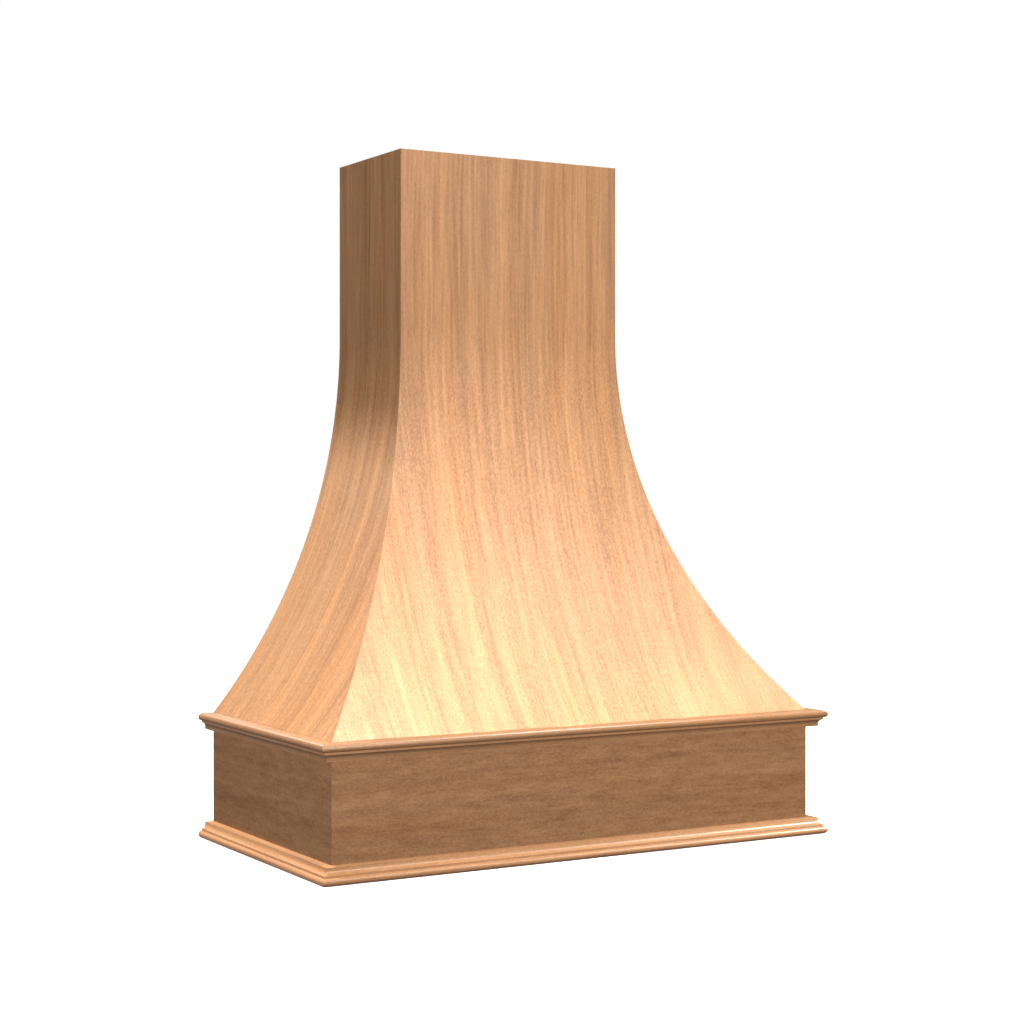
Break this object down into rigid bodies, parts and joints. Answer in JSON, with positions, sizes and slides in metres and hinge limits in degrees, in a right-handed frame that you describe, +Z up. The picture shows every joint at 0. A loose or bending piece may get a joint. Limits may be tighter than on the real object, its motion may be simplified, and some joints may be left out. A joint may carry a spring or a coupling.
{
  "type": "range hood cover",
  "caption": "Wooden range hood cover: a straight chimney sweeps out on three sides to an apron box with moulding bands, open below for a blower insert.",
  "frame": {"origin": "middle of the footprint, on the surface that the cover stands on", "axes": "+Z up, +Y towards the wall, +X to the right for someone who faces the cover"},
  "size_m": [0.9694, 0.5102, 1.1786],
  "materials": {
    "panel_veneer": "satin clear coat over a light reddish veneer with fine upright grain",
    "apron_wood": "satin clear coat, level grain with short dark flecks",
    "moulding_wood": "satin clear coat, level grain along the moulding",
    "frame_wood": "bare sawn and planed softwood and plywood edges",
    "insert_plywood": "sanded plywood with veneer layers showing at the cut-out's edge",
    "screw_steel": "zinc-plated steel"
  },
  "bodies": {
    "root": {"front_panel": "panel_veneer", "left_side_panel": "panel_veneer", "right_side_panel": "panel_veneer", "apron_front": "apron_wood", "apron_left": "apron_wood", "apron_right": "apron_wood", "upper_moulding_front": "moulding_wood", "upper_moulding_left": "moulding_wood", "upper_moulding_right": "moulding_wood", "lower_moulding_front": "moulding_wood", "lower_moulding_left": "moulding_wood", "lower_moulding_right": "moulding_wood", "left_back_stile": "frame_wood", "right_back_stile": "frame_wood", "top_nailer": "frame_wood", "mid_nailer": "frame_wood", "bottom_nailer": "frame_wood", "top_front_rail": "frame_wood", "top_left_rail": "frame_wood", "top_right_rail": "frame_wood", "front_left_rib": "frame_wood", "front_centre_rib": "frame_wood", "front_right_rib": "frame_wood", "left_side_rib": "frame_wood", "right_side_rib": "frame_wood", "left_hip_rib": "frame_wood", "right_hip_rib": "frame_wood", "left_front_jack": "frame_wood", "right_front_jack": "frame_wood", "left_side_jack": "frame_wood", "right_side_jack": "frame_wood", "front_mid_rail": "frame_wood", "left_mid_rail": "frame_wood", "right_mid_rail": "frame_wood", "frame_front_rail": "frame_wood", "frame_back_rail": "frame_wood", "frame_left_rail": "frame_wood", "frame_right_rail": "frame_wood", "left_front_block": "frame_wood", "right_front_block": "frame_wood", "left_back_block": "frame_wood", "right_back_block": "frame_wood", "front_cleat": "frame_wood", "left_cleat": "frame_wood", "right_cleat": "frame_wood", "insert_panel": "insert_plywood", "foot_screws": "screw_steel", "back_screws": "screw_steel", "cleat_screws": "screw_steel", "panel_screws": "screw_steel"}
  },
  "joints": []
}
